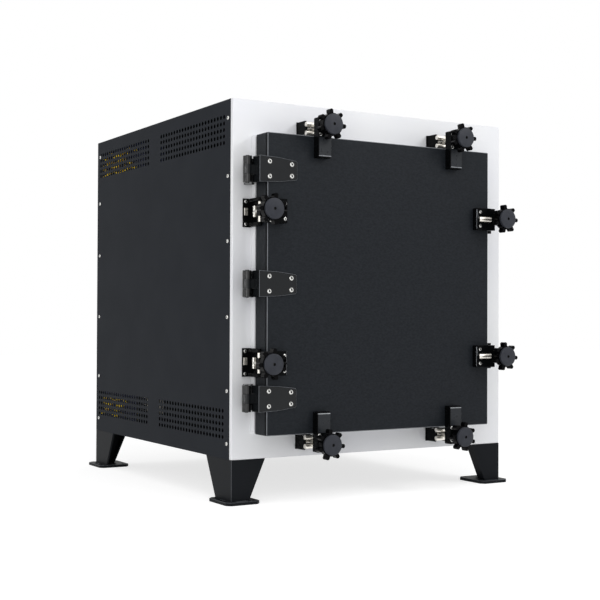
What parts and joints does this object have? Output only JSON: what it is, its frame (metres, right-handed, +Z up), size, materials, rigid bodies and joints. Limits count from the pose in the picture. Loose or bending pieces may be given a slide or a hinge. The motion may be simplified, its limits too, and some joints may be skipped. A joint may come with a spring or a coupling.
{
  "type": "thermal cycling furnace",
  "caption": "Floor-standing box furnace on plate legs, with a side-hinged plug door held shut by star-knob hook clamps and a fibre-lined chamber with side heating elements.",
  "frame": {"origin": "on the floor, under the middle of the whole object's bounding box", "axes": "+Z up, the door faces -Y, +X is to the right as one faces the door"},
  "size_m": [0.996, 1.2093, 1.122],
  "materials": {
    "casing_charcoal": "textured charcoal powder coat",
    "casing_white": "smooth light grey-white powder coat",
    "black_steel": "satin black enamel",
    "bright_steel": "bright turned steel",
    "black_plastic": "moulded black plastic with a grey cap",
    "ceramic_fibre": "vacuum-formed ceramic fibre board",
    "fibre_rope": "braided fibre rope",
    "silicon_carbide": "fired silicon carbide",
    "element_alloy": "oxidised heating alloy",
    "ceramic": "fired alumina",
    "varnished_copper": "varnished winding",
    "blue_plastic": "extruded dark blue trunking"
  },
  "bodies": {
    "root": {"front_plate": "casing_white", "door_seat_frame": "casing_white", "left_side_panel": "casing_charcoal", "right_side_panel": "casing_charcoal", "top_panel": "casing_charcoal", "back_panel": "casing_charcoal", "base_frame": "black_steel", "chamber_lining": "ceramic_fibre", "hearth_plate": "silicon_carbide", "heating_element_left": "element_alloy", "heating_element_right": "element_alloy", "thermocouple": "ceramic", "transformer": "varnished_copper", "wire_duct": "blue_plastic", "cable_gland": "black_plastic", "leg_front_left": "casing_charcoal", "leg_front_right": "casing_charcoal", "leg_rear_left": "casing_charcoal", "leg_rear_right": "casing_charcoal", "hinge_frame_leaf_upper": "black_steel", "hinge_frame_leaf_middle": "black_steel", "hinge_frame_leaf_lower": "black_steel", "keeper_top_left": "black_steel", "keeper_bottom_left": "black_steel", "keeper_left_upper": "black_steel", "keeper_left_lower": "black_steel", "keeper_top_right": "black_steel", "keeper_bottom_right": "black_steel", "keeper_right_upper": "black_steel", "keeper_right_lower": "black_steel"},
    "door": {"door_shell": "casing_charcoal", "door_plug": "ceramic_fibre", "door_gasket": "fibre_rope", "hinge_door_leaf_upper": "black_steel", "hinge_door_leaf_middle": "black_steel", "hinge_door_leaf_lower": "black_steel", "clamp_bracket_top_left": "black_steel", "clamp_bracket_bottom_left": "black_steel", "clamp_bracket_left_upper": "black_steel", "clamp_bracket_left_lower": "black_steel", "clamp_bracket_top_right": "black_steel", "clamp_bracket_bottom_right": "black_steel", "clamp_bracket_right_upper": "black_steel", "clamp_bracket_right_lower": "black_steel"},
    "clamp_top_left": {"hook_bolt_top_left": "bright_steel", "star_knob_top_left": "black_plastic"},
    "clamp_bottom_left": {"hook_bolt_bottom_left": "bright_steel", "star_knob_bottom_left": "black_plastic"},
    "clamp_left_upper": {"hook_bolt_left_upper": "bright_steel", "star_knob_left_upper": "black_plastic"},
    "clamp_left_lower": {"hook_bolt_left_lower": "bright_steel", "star_knob_left_lower": "black_plastic"},
    "clamp_top_right": {"hook_bolt_top_right": "bright_steel", "star_knob_top_right": "black_plastic"},
    "clamp_bottom_right": {"hook_bolt_bottom_right": "bright_steel", "star_knob_bottom_right": "black_plastic"},
    "clamp_right_upper": {"hook_bolt_right_upper": "bright_steel", "star_knob_right_upper": "black_plastic"},
    "clamp_right_lower": {"hook_bolt_right_lower": "bright_steel", "star_knob_right_lower": "black_plastic"}
  },
  "joints": [
    {"name": "door_swing", "type": "hinge", "parent": "root", "child": "door", "pos_m": [-0.461, -0.49665, 0.607], "axis": [0, 0, -1], "range_deg": [0, 110]},
    {"name": "clamp_turn_top_left", "type": "hinge", "parent": "door", "child": "clamp_top_left", "pos_m": [-0.249, -0.55665, 1.0465], "axis": [0, 1, 0], "range_deg": [0, 90]},
    {"name": "clamp_turn_bottom_left", "type": "hinge", "parent": "door", "child": "clamp_bottom_left", "pos_m": [-0.249, -0.55665, 0.1675], "axis": [0, 1, 0], "range_deg": [0, 90]},
    {"name": "clamp_turn_left_upper", "type": "hinge", "parent": "door", "child": "clamp_left_upper", "pos_m": [-0.435, -0.55665, 0.805], "axis": [0, 1, 0], "range_deg": [0, 90]},
    {"name": "clamp_turn_left_lower", "type": "hinge", "parent": "door", "child": "clamp_left_lower", "pos_m": [-0.435, -0.55665, 0.391], "axis": [0, 1, 0], "range_deg": [0, 90]},
    {"name": "clamp_turn_top_right", "type": "hinge", "parent": "door", "child": "clamp_top_right", "pos_m": [0.211, -0.55665, 1.0465], "axis": [0, 1, 0], "range_deg": [0, 90]},
    {"name": "clamp_turn_bottom_right", "type": "hinge", "parent": "door", "child": "clamp_bottom_right", "pos_m": [0.211, -0.55665, 0.1675], "axis": [0, 1, 0], "range_deg": [0, 90]},
    {"name": "clamp_turn_right_upper", "type": "hinge", "parent": "door", "child": "clamp_right_upper", "pos_m": [0.372, -0.55665, 0.815], "axis": [0, 1, 0], "range_deg": [0, 90]},
    {"name": "clamp_turn_right_lower", "type": "hinge", "parent": "door", "child": "clamp_right_lower", "pos_m": [0.372, -0.55665, 0.401], "axis": [0, 1, 0], "range_deg": [0, 90]}
  ]
}
